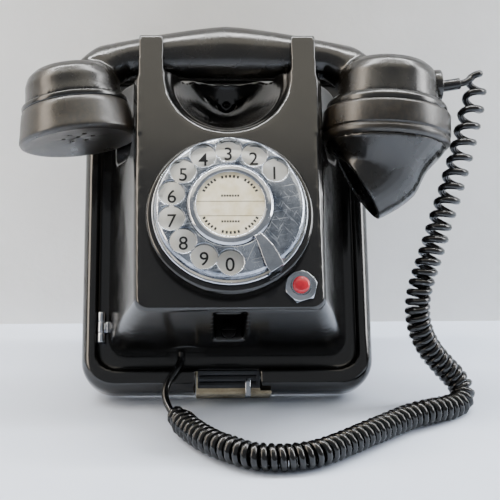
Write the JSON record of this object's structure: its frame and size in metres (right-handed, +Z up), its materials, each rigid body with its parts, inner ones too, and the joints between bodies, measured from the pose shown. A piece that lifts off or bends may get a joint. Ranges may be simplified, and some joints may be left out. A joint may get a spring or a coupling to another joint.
{
  "type": "rotary wall telephone",
  "caption": "Black rotary wall telephone: hinged case on a back plate, chrome finger wheel, red push button, handset across two cradle arms and a curly cord.",
  "frame": {"origin": "centre of the four wall screws on the back plate's rear face", "axes": "+X to the right seen from the front, +Y into the wall, +Z up"},
  "size_m": [0.2604, 0.1143, 0.2472],
  "materials": {
    "black_moulding": "gloss",
    "handset_moulding": "worn satin",
    "satin_moulding": "satin",
    "cord_rubber": "satin",
    "bright_chrome": "polished",
    "plated_steel": "zinc plated",
    "brass": "satin",
    "white_enamel": "gloss",
    "paper_card": "matte card",
    "red_plastic": "gloss",
    "brown_phenolic": "matte",
    "cream_enamel": "satin",
    "copper_wire": "lacquered winding",
    "aluminium_can": "satin"
  },
  "bodies": {
    "plate": {"back_plate": "black_moulding", "hinge_plate_leaves": "bright_chrome", "hinge_pins": "bright_chrome", "cable_entry_block": "brown_phenolic", "entry_sill": "cream_enamel", "entry_clip": "bright_chrome", "latch_post": "brass", "ringer_frame": "plated_steel", "ringer_coils": "copper_wire", "gong_left": "brass", "gong_right": "brass", "gong_screws": "plated_steel", "induction_coil": "copper_wire", "capacitor": "aluminium_can", "terminal_block": "brown_phenolic", "terminal_screws": "brass"},
    "clapper_arm": {"clapper": "plated_steel"},
    "case": {"front_cover": "black_moulding", "hinge_cover_leaves": "bright_chrome", "cover_screw": "plated_steel", "dial_base": "black_moulding", "dial_frame": "plated_steel", "number_plate": "white_enamel", "number_plate_ring": "bright_chrome", "finger_stop": "bright_chrome", "governor_cup": "plated_steel", "pulse_springs": "brass", "button_nut": "bright_chrome", "button_bush": "bright_chrome", "button_switch": "brown_phenolic", "hook_bracket": "plated_steel", "hook_springs": "brass", "cord_grommet": "cord_rubber", "curly_cord": "cord_rubber", "cord_tail_top": "cord_rubber", "cord_tail_bottom": "cord_rubber"},
    "dial": {"finger_wheel": "bright_chrome", "card_ring": "bright_chrome", "dial_card": "paper_card", "dial_shaft": "plated_steel", "main_gear": "brass"},
    "governor_rotor": {"governor": "brass"},
    "button": {"push_button": "red_plastic"},
    "lever": {"cradle_lever": "plated_steel"},
    "handset": {"handset_shell": "handset_moulding", "ear_ring": "satin_moulding", "ear_cap": "handset_moulding", "receiver_capsule": "aluminium_can", "transmitter_ring": "satin_moulding", "transmitter_cap": "handset_moulding", "mouth_horn": "handset_moulding", "transmitter_capsule": "aluminium_can", "gland_flange": "handset_moulding", "gland_sleeve": "cord_rubber"}
  },
  "joints": [
    {"name": "case_hinge", "type": "hinge", "parent": "plate", "child": "case", "pos_m": [-0.0705, -0.021, 0], "axis": [0, 0, -1], "range_deg": [0, 75]},
    {"name": "dial_turn", "type": "hinge", "parent": "case", "child": "dial", "pos_m": [0, -0.10294, -0.01669], "axis": [0, 0.9962, -0.0872], "range_deg": [0, 329.5], "stiffness_Nm_per_rad": 0.01, "springref_deg": -114.59},
    {"name": "governor_spin", "type": "hinge", "parent": "case", "child": "governor_rotor", "pos_m": [-0.01591, -0.07167, -0.00346], "axis": [0, 0.9962, -0.0872], "range_deg": [-1320, 2]},
    {"name": "button_press", "type": "slide", "parent": "case", "child": "button", "axis": [0, 0.9962, -0.0872], "range_m": [0, 0.0025], "stiffness_N_per_m": 300, "springref_m": -0.002},
    {"name": "lever_rise", "type": "hinge", "parent": "case", "child": "lever", "pos_m": [0.0331, -0.042, 0.055], "axis": [-1, 0, 0], "range_deg": [0, 10.1]},
    {"name": "handset_lift", "type": "slide", "parent": "case", "child": "handset", "axis": [0, 0, 1], "range_m": [0, 0.1]},
    {"name": "clapper_swing", "type": "hinge", "parent": "plate", "child": "clapper_arm", "pos_m": [0, -0.0377, -0.0095], "axis": [0, 1, 0], "range_deg": [-3.5, 3.5], "stiffness_Nm_per_rad": 0.01}
  ],
  "couplings": [
    {"joint": "governor_spin", "follows": "dial_turn", "ratio": -4},
    {"joint": "lever_rise", "follows": "handset_lift", "rad_per_m": 1.745}
  ]
}
